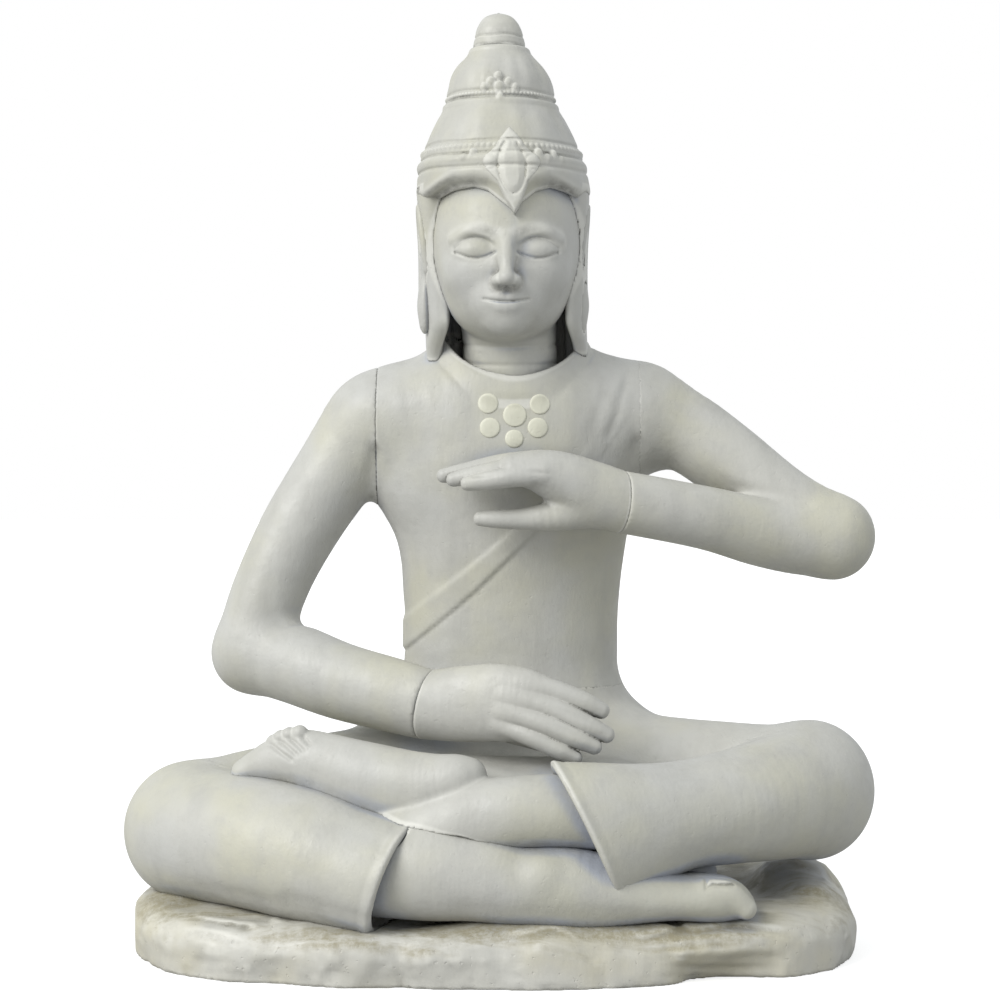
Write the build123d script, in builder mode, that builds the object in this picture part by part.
"""A cross-legged seated figure of cast stone on a rock slab, in sections pinned together with steel dowels.

Millimetres. +Z is up, the figure faces -Y, and its own right side is -X. The slab's flat underside is at
Z = 0, and the origin is in it, below the middle of the figure.
"""

import os

from build123d import *

# Driving dimensions
HEIGHT = 600.0
SLAB_TOP = 34.0
WAIST_SEAM_Z = 165.0
CROWN_SEAM_Z = 486.0
FINIAL_SEAM_Z = 577.0
RIGHT_SHOULDER_X = -80.0
LEFT_SHOULDER_X = 90.0

SPINE = Vector(7, 34, 0)
NECK_AXIS = Vector(7, 16, 0)
CROWN_AXIS = Vector(1.5, 6, 0)
FACE_X = 4.0
CLOTH_X = 2.5

RIGHT_ELBOW = Vector(-160, 12, 187)
RIGHT_WRIST = Vector(-45, -45, 158.5)
LEFT_ELBOW = Vector(215, 5, 262)
LEFT_WRIST = Vector(76, -38, 285)
RIGHT_KNEE = Vector(-197, -28, 77)
LEFT_KNEE = Vector(198, -24, 104)
KNEE_RADIUS = 41.0
ELBOW_RADIUS = 26.0

THICK_DOWEL = 12.0
THIN_DOWEL = 8.0
FINE_DOWEL = 5.0
SLAB_DOWEL_PLACES = [(-58, 52), (70, 52), (-120, -78)]

RIGHT_SHOULDER_SEAM = Plane(origin=(RIGHT_SHOULDER_X, 0, 0), z_dir=(1, 0, 0))
LEFT_SHOULDER_SEAM = Plane(origin=(LEFT_SHOULDER_X, 0, 0), z_dir=(1, 0, 0))
SASH_PROUD = 1.5
NECK_SOCKET_Z = 362.0
CHIN_LEVEL = 390.0
HAIRLINE_LEVEL = 480.0
FACE_THIRD = (HAIRLINE_LEVEL - CHIN_LEVEL) / 3
BROW_LEVEL = HAIRLINE_LEVEL - FACE_THIRD
EYE_LEVEL = CHIN_LEVEL + 1.75 * FACE_THIRD
NOSE_LEVEL = CHIN_LEVEL + FACE_THIRD
MOUTH_LEVEL = CHIN_LEVEL + FACE_THIRD * 2 / 3
NOSE_FRONT_Y = -54.0

MEDALLION_BACK_Y = -12.0
MEDALLION_FRONT_Y = -23.0
PLAQUE_LEAN = 9.0
PLAQUE_DEPTH = 16.0
PLAQUE_MIDDLE = Vector(7.5, -53, 492)


def heading(points, index):
    """Direction of travel along the points at one of them."""
    before = points[max(index - 1, 0)]
    after = points[min(index + 1, len(points) - 1)]
    return (after - before).normalized()


def limb(stations, mode=Mode.ADD):
    """Lofts ovals along a path. A station is (x, y, z, half width on the level, half height across it)."""
    points = [Vector(*station[:3]) for station in stations]
    sections = []
    for index, station in enumerate(stations):
        ahead = heading(points, index)
        level = Vector(0, 0, 1).cross(ahead)
        plane = Plane(origin=points[index], x_dir=level, z_dir=ahead)
        with BuildSketch(plane) as oval:
            Ellipse(station[3], station[4])
        sections.append(oval.sketch.face())
    loft(sections=sections, mode=mode)


def stack(levels, mode=Mode.ADD):
    """Lofts level ovals up Z. A level is (x, y, z, half width along X, half depth along Y)."""
    sections = []
    for x, y, z, half_wide, half_deep in levels:
        with BuildSketch(Plane(origin=(x, y, z))) as oval:
            Ellipse(half_wide, half_deep)
        sections.append(oval.sketch.face())
    loft(sections=sections, mode=mode)


def ball(centre, radius):
    with Locations(tuple(centre)):
        Sphere(radius)


def digit(base, tip, base_radius, tip_radius):
    """A finger, thumb or toe: a tapered rod with round ends."""
    base, tip = Vector(*base), Vector(*tip)
    along = tip - base
    with Locations(Plane(origin=(base + tip) / 2, z_dir=along).location):
        Cone(base_radius, tip_radius, along.length)
    ball(base, base_radius)
    ball(tip, tip_radius)


def keep_above(z):
    """Trims the part being built to what lies above a level."""
    split(bisect_by=Plane(origin=(0, 0, z)), keep=Keep.TOP)


def keep_below(z):
    split(bisect_by=Plane(origin=(0, 0, z)), keep=Keep.BOTTOM)


def cut_away(*others):
    """Takes finished pieces out of the part being built, so that the faces meet without overlap."""
    for other in others:
        add(other, mode=Mode.SUBTRACT)


def rod(start, end, diameter):
    """A dowel between two points, square at its ends."""
    start, end = Vector(*start), Vector(*end)
    along = end - start
    with Locations(Plane(origin=(start + end) / 2, z_dir=along).location):
        Cylinder(diameter / 2, along.length)


def save(piece, name):
    piece.label = name
    export_step(piece, f"parts/{name}.step")
    print(name, len(piece.solids()), "solids", round(piece.volume / 1000), "cm3")


# Dowels: each crosses one seam, half its length in each section
def through(point, direction, half_length):
    step = direction.normalized() * half_length
    return point - step, point + step


def build_dowels():
    """Every dowel by name. The sections are drilled by taking these out of them."""
    right_forearm = RIGHT_WRIST - RIGHT_ELBOW
    left_forearm = LEFT_WRIST - LEFT_ELBOW
    dowels = {}
    with BuildPart() as torso_dowels:
        for x in (SPINE.X - 32, SPINE.X + 32):
            rod((x, SPINE.Y, WAIST_SEAM_Z - 40), (x, SPINE.Y, WAIST_SEAM_Z + 40), THICK_DOWEL)
    dowels["torso_dowels"] = torso_dowels.part
    with BuildPart() as neck_dowel:
        rod((NECK_AXIS.X, NECK_AXIS.Y, 315), (NECK_AXIS.X, NECK_AXIS.Y, 420), THICK_DOWEL)
    dowels["neck_dowel"] = neck_dowel.part
    with BuildPart() as headdress_dowel:
        rod((CROWN_AXIS.X, CROWN_AXIS.Y, 460), (CROWN_AXIS.X, CROWN_AXIS.Y, 512), THIN_DOWEL)
    dowels["headdress_dowel"] = headdress_dowel.part
    with BuildPart() as finial_dowel:
        rod((CROWN_AXIS.X, CROWN_AXIS.Y, 565), (CROWN_AXIS.X, CROWN_AXIS.Y, 589), FINE_DOWEL)
    dowels["finial_dowel"] = finial_dowel.part
    with BuildPart() as right_shoulder_dowel:
        rod((RIGHT_SHOULDER_X - 25, 30, 329), (RIGHT_SHOULDER_X + 30, 30, 329), THICK_DOWEL)
    dowels["right_shoulder_dowel"] = right_shoulder_dowel.part
    with BuildPart() as left_shoulder_dowel:
        rod((LEFT_SHOULDER_X - 30, 30, 340), (LEFT_SHOULDER_X + 25, 30, 340), THICK_DOWEL)
    dowels["left_shoulder_dowel"] = left_shoulder_dowel.part
    with BuildPart() as right_wrist_dowel:
        rod(*through(RIGHT_WRIST, right_forearm, 22), THIN_DOWEL)
    dowels["right_wrist_dowel"] = right_wrist_dowel.part
    with BuildPart() as left_wrist_dowel:
        rod(*through(LEFT_WRIST, left_forearm, 20), THIN_DOWEL)
    dowels["left_wrist_dowel"] = left_wrist_dowel.part
    with BuildPart() as right_leg_dowel:
        rod((-128, -20, 76), (-138, -72, 76), THICK_DOWEL)
    dowels["right_leg_dowel"] = right_leg_dowel.part
    with BuildPart() as left_leg_dowel:
        rod((128, -12, 100), (138, -62, 98), THICK_DOWEL)
    dowels["left_leg_dowel"] = left_leg_dowel.part
    with BuildPart() as right_ankle_dowel:
        rod((-92, -103, 66), (-44, -110, 63), THIN_DOWEL)
    dowels["right_ankle_dowel"] = right_ankle_dowel.part
    with BuildPart() as left_ankle_dowel:
        rod((76, -101, 97), (34, -101, 101), THIN_DOWEL)
    dowels["left_ankle_dowel"] = left_ankle_dowel.part
    with BuildPart() as slab_dowels:
        for x, y in SLAB_DOWEL_PLACES:
            rod((x, y, SLAB_TOP - 24), (x, y, SLAB_TOP + 26), THICK_DOWEL)
    dowels["slab_dowels"] = slab_dowels.part
    return dowels


def build_right_leg(dowels):
    """The right shin in its trouser leg, from the knee on the slab to the open hem."""
    with BuildPart() as right_leg:
        ball(RIGHT_KNEE, KNEE_RADIUS)
        limb(
            [
                (-197, -28, 77, 40, 40),
                (-165, -58, 77, 41, 41),
                (-128, -82, 75, 40, 40),
                (-92, -98, 68, 38, 36),
                (-66, -108, 62, 38, 32),
            ]
        )
        keep_above(SLAB_TOP)
        # the open end of the trouser leg, round the bare ankle
        limb([(-78, -104, 64, 27, 25), (-50, -110, 62, 29, 27)], mode=Mode.SUBTRACT)
        cut_away(dowels["right_leg_dowel"], dowels["right_ankle_dowel"], dowels["slab_dowels"])
    return right_leg.part


def build_left_leg(dowels):
    """The left shin in its trouser leg, crossing over in front, with its hem hanging to a point."""
    with BuildPart() as left_leg:
        ball(LEFT_KNEE, KNEE_RADIUS)
        limb(
            [
                (198, -24, 104, 40, 40),
                (170, -52, 101, 38, 37),
                (130, -76, 98, 35, 33),
                (92, -94, 95, 33, 32),
                (58, -106, 92, 32, 35),
            ]
        )
        limb([(66, -104, 96, 22, 22), (40, -108, 98, 25, 25)], mode=Mode.SUBTRACT)
        cut_away(dowels["left_leg_dowel"], dowels["left_ankle_dowel"])
    return left_leg.part


def build_right_foot(legs, dowels):
    """The bare right ankle and foot, passing under the left shin and lying on the slab."""
    with BuildPart() as right_foot:
        limb(
            [
                (-78, -104, 64, 25, 25),
                (-46, -110, 63, 25, 26),
                (-10, -112, 61, 24, 24),
                (40, -111, 55, 22, 20),
                (80, -107, 52, 22, 19),
                (112, -101, 50, 23, 16),
                (136, -95, 46, 20, 12),
            ]
        )
        for toe, y in enumerate((-110, -102, -94, -86, -79)):
            reach = 151 - 3 * toe
            digit((132, y, 46), (reach, y + 2, 41), 7, 5.5)
        keep_above(SLAB_TOP)
        cut_away(*legs, dowels["right_ankle_dowel"])
    return right_foot.part


def build_left_foot(legs, right_foot, dowels):
    """The bare left ankle and foot, lying sole up on the right thigh."""
    with BuildPart() as left_foot:
        limb(
            [
                (66, -104, 98, 22, 22),
                (30, -106, 101, 21, 21),
                (4, -105, 99, 22, 20),
                (-24, -98, 96, 22, 20),
                (-54, -84, 94, 20, 18),
            ]
        )
        limb(
            [
                (-14, -88, 112, 12, 13),
                (-28, -87, 111, 20, 21),
                (-52, -83, 112, 20, 21),
                (-82, -77, 116, 19, 21),
                (-112, -70, 124, 16, 18),
                (-134, -64, 127, 13, 13),
            ]
        )
        for toe in range(5):
            x, z = -127 - 5 * toe, 138 - 4 * toe
            digit((x + 14, -68 - toe, z - 4), (x, -62 - toe, z - 3), 6, 5)
        cut_away(*legs, right_foot, dowels["left_ankle_dowel"])
    return left_foot.part


def build_seat(others, dowels):
    """Hips, lap and both thighs in one section, flat underneath and flat at the waist seam."""
    with BuildPart() as seat:
        stack(
            [
                (6, 36, SLAB_TOP, 100, 62),
                (6, 36, 70, 111, 68),
                (6, 35, 115, 106, 60),
                (7, 34, 145, 92, 50),
                (7, 34, WAIST_SEAM_Z, 72, 46),
            ]
        )
        limb([(-20, 20, 96, 50, 46), (-100, 6, 88, 46, 44), (-185, -20, 80, 38, 36)])
        limb([(20, 20, 104, 50, 46), (100, 8, 104, 46, 42), (192, -14, 106, 38, 37)])
        # the lap cloth that dips between the thighs
        limb([(-60, -40, 88, 40, 30), (4, -52, 84, 44, 30), (70, -42, 88, 40, 34)])
        # the casting is solid between the thighs, down to the slab
        stack([(6, -10, SLAB_TOP, 150, 70), (6, -10, 60, 148, 68), (6, -10, 80, 140, 60)])
        keep_above(SLAB_TOP)
        keep_below(WAIST_SEAM_Z)
        cut_away(*others)
        cut_away(*[dowels[n] for n in ("torso_dowels", "right_leg_dowel", "left_leg_dowel", "slab_dowels")])
    return seat.part


TORSO_LEVELS = [
    (7, 34, WAIST_SEAM_Z, 72, 46),
    (7, 34, 185, 70, 44),
    (8, 33, 215, 70, 44),
    (7, 32, 255, 75, 48),
    (1, 31, 290, 86, 51),
    (4, 30, 320, 95, 51),
    (5, 30, 345, 100, 47),
    (5, 30, 362, 90, 42),
    (6, 29, 375, 70, 38),
    (7, 26, 386, 50, 35),
]


def build_torso(dowels):
    """Chest and shoulders, with the raised diagonal sash and a deep round neckline."""
    with BuildPart() as sash:
        stack([(x, y, z, wide + SASH_PROUD, deep + SASH_PROUD) for x, y, z, wide, deep in TORSO_LEVELS])
        with BuildPart(mode=Mode.PRIVATE) as band:
            with BuildSketch(Plane.XZ):
                with BuildLine():
                    Polyline((-90, 196), (120, 358), (120, 334), (-90, 172), close=True)
                make_face()
            extrude(amount=100, both=True)
        add(band.part, mode=Mode.INTERSECT)
    with BuildPart() as torso:
        stack(TORSO_LEVELS)
        add(sash.part)
        # the neck stands in a socket, with a clear gap inside the neckline
        with BuildSketch(Plane(origin=(NECK_AXIS.X, NECK_AXIS.Y, NECK_SOCKET_Z))):
            Ellipse(39, 36)
        extrude(amount=60, mode=Mode.SUBTRACT)
        split(bisect_by=RIGHT_SHOULDER_SEAM, keep=Keep.TOP)
        split(bisect_by=LEFT_SHOULDER_SEAM, keep=Keep.BOTTOM)
        drill = ("torso_dowels", "neck_dowel", "right_shoulder_dowel", "left_shoulder_dowel")
        cut_away(*[dowels[name] for name in drill])
    return torso.part


def build_right_arm(dowels):
    """The lowered arm, from the shoulder seam round the elbow to the wrist seam."""
    with BuildPart() as right_arm:
        limb(
            [
                (-62, 30, 338, 30, 36),
                (-86, 30, 327, 29, 36),
                (-108, 28, 304, 27, 30),
                (-130, 22, 262, 25, 26),
                (-150, 15, 220, 25, 25),
                (*RIGHT_ELBOW, 25, 25),
            ]
        )
        split(bisect_by=RIGHT_SHOULDER_SEAM, keep=Keep.BOTTOM)
        ball(RIGHT_ELBOW, ELBOW_RADIUS)
        limb(
            [
                (*RIGHT_ELBOW, 25, 25),
                (-122, -8, 177, 24, 25),
                (-82, -28, 168, 22, 24),
                (*RIGHT_WRIST, 18, 22),
            ]
        )
        cut_away(dowels["right_shoulder_dowel"], dowels["right_wrist_dowel"])
    return right_arm.part


def build_left_arm(dowels):
    """The raised arm, from the shoulder seam out to the elbow and back to the wrist seam."""
    with BuildPart() as left_arm:
        limb(
            [
                (66, 30, 346, 30, 34),
                (92, 30, 338, 28, 33),
                (120, 27, 328, 26, 29),
                (152, 20, 310, 25, 27),
                (186, 12, 286, 25, 25),
                (*LEFT_ELBOW, 25, 25),
            ]
        )
        split(bisect_by=LEFT_SHOULDER_SEAM, keep=Keep.TOP)
        ball(LEFT_ELBOW, ELBOW_RADIUS)
        limb(
            [
                (*LEFT_ELBOW, 25, 25),
                (170, -9, 266, 22, 23),
                (120, -25, 276, 19, 20),
                (*LEFT_WRIST, 17, 19.5),
            ]
        )
        cut_away(dowels["left_shoulder_dowel"], dowels["left_wrist_dowel"])
    return left_arm.part


def build_right_hand(right_arm, dowels):
    """The lower hand, its back to the front and its fingers slanting down across the lap."""
    with BuildPart() as right_hand:
        limb([(*RIGHT_WRIST, 18, 22), (-20, -58, 158, 15, 23), (6, -69, 161, 13, 23), (22, -74, 159, 9, 20)])
        digit((12, -69, 174), (60, -71, 159), 8, 6)
        digit((12, -73, 166), (64, -75, 146), 8, 6)
        digit((11, -75, 156), (57, -79, 137), 8, 6)
        digit((9, -76, 148), (46, -81, 130), 7.5, 5.5)
        digit((0, -58, 152), (34, -58, 138), 9, 7)
        cut_away(right_arm, dowels["right_wrist_dowel"])
    return right_hand.part


def build_left_hand(left_arm, dowels):
    """The upper hand before the chest, fingers level and thumb held below them."""
    with BuildPart() as left_hand:
        limb([(*LEFT_WRIST, 17, 19.5), (52, -43, 294, 17, 19), (28, -46, 303, 19, 14), (8, -46, 305, 19, 9)])
        digit((12, -31, 306), (-30, -33, 301), 7, 5)
        digit((12, -40, 307), (-34, -40, 301), 7.5, 5)
        digit((12, -50, 305), (-29, -47, 299), 7.5, 5)
        digit((14, -59, 302), (-20, -53, 298), 7, 5)
        digit((46, -40, 282), (12, -39, 275), 10, 7)
        digit((12, -39, 275), (-10, -39, 275), 7, 5)
        cut_away(left_arm, dowels["left_wrist_dowel"])
    return left_hand.part


def build_head(dowels):
    """Neck, face and long-lobed ears, cut level where the headdress sits."""
    with BuildPart() as head:
        stack([(7, 17, NECK_SOCKET_Z, 31, 29), (7, 16, 390, 30, 28), (7, 12, 425, 31, 31)])
        stack(
            [
                (FACE_X, -16, 390, 14, 22),
                (FACE_X, -10, 398, 25, 34),
                (FACE_X, -3, 412, 36, 44),
                (FACE_X, 1, 432, 44, 50),
                (FACE_X, 4, 455, 48, 54),
                (3, 6, CROWN_SEAM_Z, 49, 54),
            ]
        )
        # a plain face on the usual canon: eyes half way up the head, nose and mouth on the lower thirds
        digit((FACE_X, -44, EYE_LEVEL + 2), (FACE_X, NOSE_FRONT_Y, NOSE_LEVEL), 3.5, 5)
        for side in (-1, 1):
            ball((FACE_X + side * 20, -38, EYE_LEVEL), 8)
            limb(
                [
                    (FACE_X + side * 4, -46, BROW_LEVEL - 2, 3, 3),
                    (FACE_X + side * 18, -44, BROW_LEVEL + 1, 3.5, 3),
                    (FACE_X + side * 34, -34, BROW_LEVEL - 1, 3, 2.5),
                ]
            )
        for half_wide, level, rise in ((14, MOUTH_LEVEL + 1, 2), (11, MOUTH_LEVEL - 2, -2)):
            limb(
                [
                    (FACE_X - half_wide, -38, level, 2.5, 2),
                    (FACE_X, -44, level + rise, 4, 3),
                    (FACE_X + half_wide, -38, level, 2.5, 2),
                ]
            )
        for side in (-1, 1):
            limb(
                [
                    (FACE_X + side * 50, 6, 470, 4, 9),
                    (FACE_X + side * 51.5, 5, 448, 5, 9),
                    (FACE_X + side * 50, 2, 418, 5, 6),
                    (FACE_X + side * 48.5, 0, 404, 4, 4),
                ]
            )
        cut_away(dowels["neck_dowel"], dowels["headdress_dowel"])
    return head.part


def build_head_cloth(head, torso):
    """The cloth that falls from the headdress behind the ears and round the nape to the shoulders."""
    with BuildPart() as head_cloth:
        stack([(4, 12, 372, 51, 50), (3, 12, 420, 53, 52), (CLOTH_X, 9, CROWN_SEAM_Z, 55, 54)])
        stack([(4, 12, 360, 36, 36), (3, 12, 420, 38, 38), (CLOTH_X, 9, 500, 41, 41)], mode=Mode.SUBTRACT)
        split(bisect_by=Plane(origin=(0, -2, 0), z_dir=(0, 1, 0)), keep=Keep.TOP)
        cut_away(head, torso)
    return head_cloth.part


def build_headdress(dowels):
    """The tall tiered crown, turned about its axis, with a ridge at the foot of each tier."""
    with BuildPart() as headdress:
        with BuildSketch(Plane.XZ.offset(-CROWN_AXIS.Y)):
            with BuildLine():
                axis_foot = (CROWN_AXIS.X, CROWN_SEAM_Z)
                axis_top = (CROWN_AXIS.X, FINIAL_SEAM_Z)
                outline = [
                    (CROWN_AXIS.X + radius, z)
                    for radius, z in ((54, CROWN_SEAM_Z), (55.5, 496), (52, 507), (44, 525), (36, 539))
                ]
                Spline(*outline)
                Line(outline[-1], (CROWN_AXIS.X + 34, 541))
                Spline((CROWN_AXIS.X + 34, 541), (CROWN_AXIS.X + 28, 560), (CROWN_AXIS.X + 18, 574))
                Line((CROWN_AXIS.X + 18, 574), (CROWN_AXIS.X + 16, FINIAL_SEAM_Z))
                Polyline((CROWN_AXIS.X + 16, FINIAL_SEAM_Z), axis_top, axis_foot, outline[0])
            make_face()
        revolve(axis=Axis((CROWN_AXIS.X, CROWN_AXIS.Y, 0), (0, 0, 1)))
        for radius, z, thick in ((54.3, 499, 2.2), (51.0, 509, 1.8), (34.2, 541, 2.2)):
            with Locations((CROWN_AXIS.X, CROWN_AXIS.Y, z)):
                Torus(radius, thick)
        cut_away(dowels["headdress_dowel"], dowels["finial_dowel"])
    return headdress.part


def build_finial(dowels):
    """The round knob on top of the crown."""
    with BuildPart() as finial:
        with BuildSketch(Plane.XZ.offset(-CROWN_AXIS.Y)):
            with BuildLine():
                Spline(
                    (CROWN_AXIS.X + 15.5, FINIAL_SEAM_Z),
                    (CROWN_AXIS.X + 14, 586),
                    (CROWN_AXIS.X + 9, 596),
                    (CROWN_AXIS.X, HEIGHT),
                    tangents=((0, 1), (-1, 0)),
                )
                Polyline(
                    (CROWN_AXIS.X, HEIGHT),
                    (CROWN_AXIS.X, FINIAL_SEAM_Z),
                    (CROWN_AXIS.X + 15.5, FINIAL_SEAM_Z),
                )
            make_face()
        revolve(axis=Axis((CROWN_AXIS.X, CROWN_AXIS.Y, 0), (0, 0, 1)))
        cut_away(dowels["finial_dowel"])
    return finial.part


def build_crown_plaque(headdress, head):
    """The pointed leaf ornament on the brow, leaning back on the headdress and the forehead."""
    outward = Vector(0, -1, 0).rotate(Axis.X, -PLAQUE_LEAN)
    with BuildPart() as crown_plaque:
        with BuildSketch(Plane(origin=PLAQUE_MIDDLE, x_dir=(1, 0, 0), z_dir=outward)):
            with BuildLine():
                left, right, top, tip = (-19.5, 3), (19.5, 3), (0, 27), (0, -26)
                ThreePointArc(top, (7, 13), right)
                ThreePointArc(right, (8, -9), tip)
                ThreePointArc(tip, (-8, -9), left)
                ThreePointArc(left, (-7, 13), top)
            make_face()
        extrude(amount=-PLAQUE_DEPTH)
        cut_away(headdress, head)
    return max(crown_plaque.part.solids(), key=lambda solid: solid.volume)


def build_chest_medallions(torso):
    """Five small round bosses about a larger one, set on the chest below the neckline."""
    small, middle, large = 6, 6.6, 7.6
    places = [(9.4, 340, large), (9, 325, small)]
    places += [(x, z, middle) for x, z in ((-7.6, 347.5), (25.4, 347), (-6.4, 332), (24, 332))]
    with BuildPart() as chest_medallions:
        for x, z, radius in places:
            with BuildSketch(Plane.XZ.offset(-MEDALLION_BACK_Y)):
                with Locations((x, z)):
                    Circle(radius)
            extrude(amount=MEDALLION_BACK_Y - MEDALLION_FRONT_Y)
        cut_away(torso)
    return chest_medallions.part


def build_rock_slab(figure, dowels):
    """The irregular rock slab, flat underneath, raised into low boulders at both ends."""
    outline = [
        (-228, -28), (-214, -80), (-160, -122), (-80, -138), (10, -140), (110, -130), (190, -96), (226, -30),
        (222, 30), (180, 84), (90, 112), (-30, 116), (-140, 96), (-212, 40),
    ]
    with BuildPart() as rock_slab:
        with BuildSketch():
            with BuildLine():
                Spline(*outline, periodic=True)
            make_face()
        extrude(amount=SLAB_TOP)
        fillet(rock_slab.faces().sort_by(Axis.Z)[-1].edges(), radius=9)
        for x, y, z, radius in ((-178, -6, -8, 50), (176, 12, 4, 46), (150, 38, -8, 52), (-156, 22, -12, 50)):
            ball((x, y, z), radius)
        keep_above(0)
        cut_away(*figure, dowels["slab_dowels"])
    return rock_slab.part


def main():
    os.makedirs("parts", exist_ok=True)
    dowels = build_dowels()
    right_leg = build_right_leg(dowels)
    left_leg = build_left_leg(dowels)
    legs = (right_leg, left_leg)
    right_foot = build_right_foot(legs, dowels)
    left_foot = build_left_foot(legs, right_foot, dowels)
    seat = build_seat((*legs, right_foot, left_foot), dowels)
    torso = build_torso(dowels)
    right_arm = build_right_arm(dowels)
    left_arm = build_left_arm(dowels)
    head = build_head(dowels)
    headdress = build_headdress(dowels)
    pieces = {
        "rock_slab": build_rock_slab((*legs, right_foot, seat), dowels),
        "seat": seat,
        "right_leg": right_leg,
        "left_leg": left_leg,
        "right_foot": right_foot,
        "left_foot": left_foot,
        "torso": torso,
        "chest_medallions": build_chest_medallions(torso),
        "right_arm": right_arm,
        "left_arm": left_arm,
        "right_hand": build_right_hand(right_arm, dowels),
        "left_hand": build_left_hand(left_arm, dowels),
        "head": head,
        "head_cloth": build_head_cloth(head, torso),
        "headdress": headdress,
        "crown_plaque": build_crown_plaque(headdress, head),
        "finial": build_finial(dowels),
        **dowels,
    }
    for name, piece in pieces.items():
        save(piece, name)


main()
